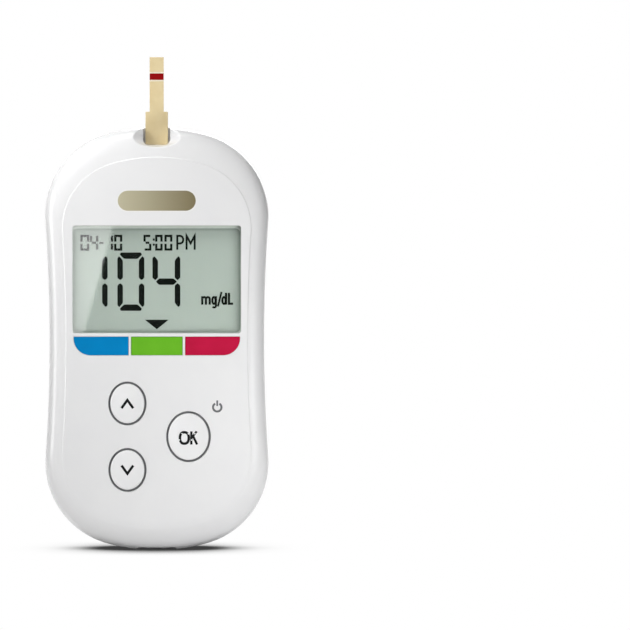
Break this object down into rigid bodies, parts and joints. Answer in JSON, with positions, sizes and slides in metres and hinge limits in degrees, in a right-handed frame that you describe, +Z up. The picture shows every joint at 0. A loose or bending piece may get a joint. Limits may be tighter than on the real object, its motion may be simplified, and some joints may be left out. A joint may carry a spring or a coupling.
{
  "type": "blood glucose meter",
  "caption": "Hand-held blood glucose meter with display, range bar, sprung oval buttons, battery door and a test strip that pulls out of its top port.",
  "frame": {"origin": "middle of the flat foot at the lower end, on the surface it stands on", "axes": "+Z up to the strip port, -Y out of the display, +X to the right seen from the front"},
  "size_m": [0.0456, 0.0163, 0.1005],
  "materials": {
    "case_white": "satin moulded ABS",
    "cap_white": "satin moulded ABS",
    "clear_window": "clear PMMA",
    "gasket_grey": "foam",
    "lcd_glass": "liquid crystal glass",
    "reflector": "pearl film",
    "holder_plastic": "moulded",
    "zebra_rubber": "elastomer",
    "blue_plastic": "printed",
    "green_plastic": "printed",
    "crimson_plastic": "printed",
    "champagne_plate": "champagne lacquer",
    "keypad_silicone": "matte",
    "dome_steel": "bright",
    "board_green": "solder mask",
    "chip_black": "moulded epoxy",
    "crystal_can": "bright",
    "capacitor_ceramic": "sintered",
    "socket_black": "moulded LCP",
    "contact_gold": "gold plated",
    "strip_cream": "polyester film",
    "cell_steel": "nickel plated",
    "seal_grey": "polypropylene",
    "spring_nickel": "nickel plated",
    "usb_steel": "tin plated",
    "screw_steel": "zinc plated",
    "label_paper": "matte film"
  },
  "bodies": {
    "meter": {"front_shell": "case_white", "rear_shell": "case_white", "display_window": "clear_window", "display_gasket": "gasket_grey", "lcd_front_glass": "lcd_glass", "lcd_rear_glass": "lcd_glass", "lcd_reflector": "reflector", "lcd_holder": "holder_plastic", "zebra_connector": "zebra_rubber", "range_bar_low": "blue_plastic", "range_bar_mid": "green_plastic", "range_bar_high": "crimson_plastic", "name_plate": "champagne_plate", "keypad_mat": "keypad_silicone", "dome_switches": "dome_steel", "circuit_board": "board_green", "microcontroller": "chip_black", "measuring_chip": "chip_black", "clock_crystal": "crystal_can", "board_capacitors": "capacitor_ceramic", "strip_socket": "socket_black", "strip_contacts": "contact_gold", "cell_can": "cell_steel", "cell_seal": "seal_grey", "cell_cap": "cell_steel", "negative_contact": "spring_nickel", "positive_contact": "spring_nickel", "usb_shell": "usb_steel", "usb_tongue": "socket_black", "case_screws": "screw_steel", "board_screws": "screw_steel", "rating_label": "label_paper"},
    "up_button": {"button_up": "cap_white"},
    "down_button": {"button_down": "cap_white"},
    "ok_button": {"button_ok": "cap_white"},
    "test_strip": {"strip_film": "strip_cream", "strip_base": "strip_cream"},
    "door": {"battery_door": "case_white"}
  },
  "joints": [
    {"name": "up_press", "type": "slide", "parent": "meter", "child": "up_button", "axis": [0, 1, 0], "range_m": [0, 0.0004], "stiffness_N_per_m": 1500},
    {"name": "down_press", "type": "slide", "parent": "meter", "child": "down_button", "axis": [0, 1, 0], "range_m": [0, 0.0004], "stiffness_N_per_m": 1500},
    {"name": "ok_press", "type": "slide", "parent": "meter", "child": "ok_button", "axis": [0, 1, 0], "range_m": [0, 0.0004], "stiffness_N_per_m": 1500},
    {"name": "strip_slide", "type": "slide", "parent": "meter", "child": "test_strip", "axis": [0, 0, 1], "range_m": [0, 0.016]},
    {"name": "door_tilt", "type": "hinge", "parent": "meter", "child": "door", "pos_m": [0, 0.008, 0.04615], "axis": [1, 0, 0], "range_deg": [0, 45]}
  ]
}
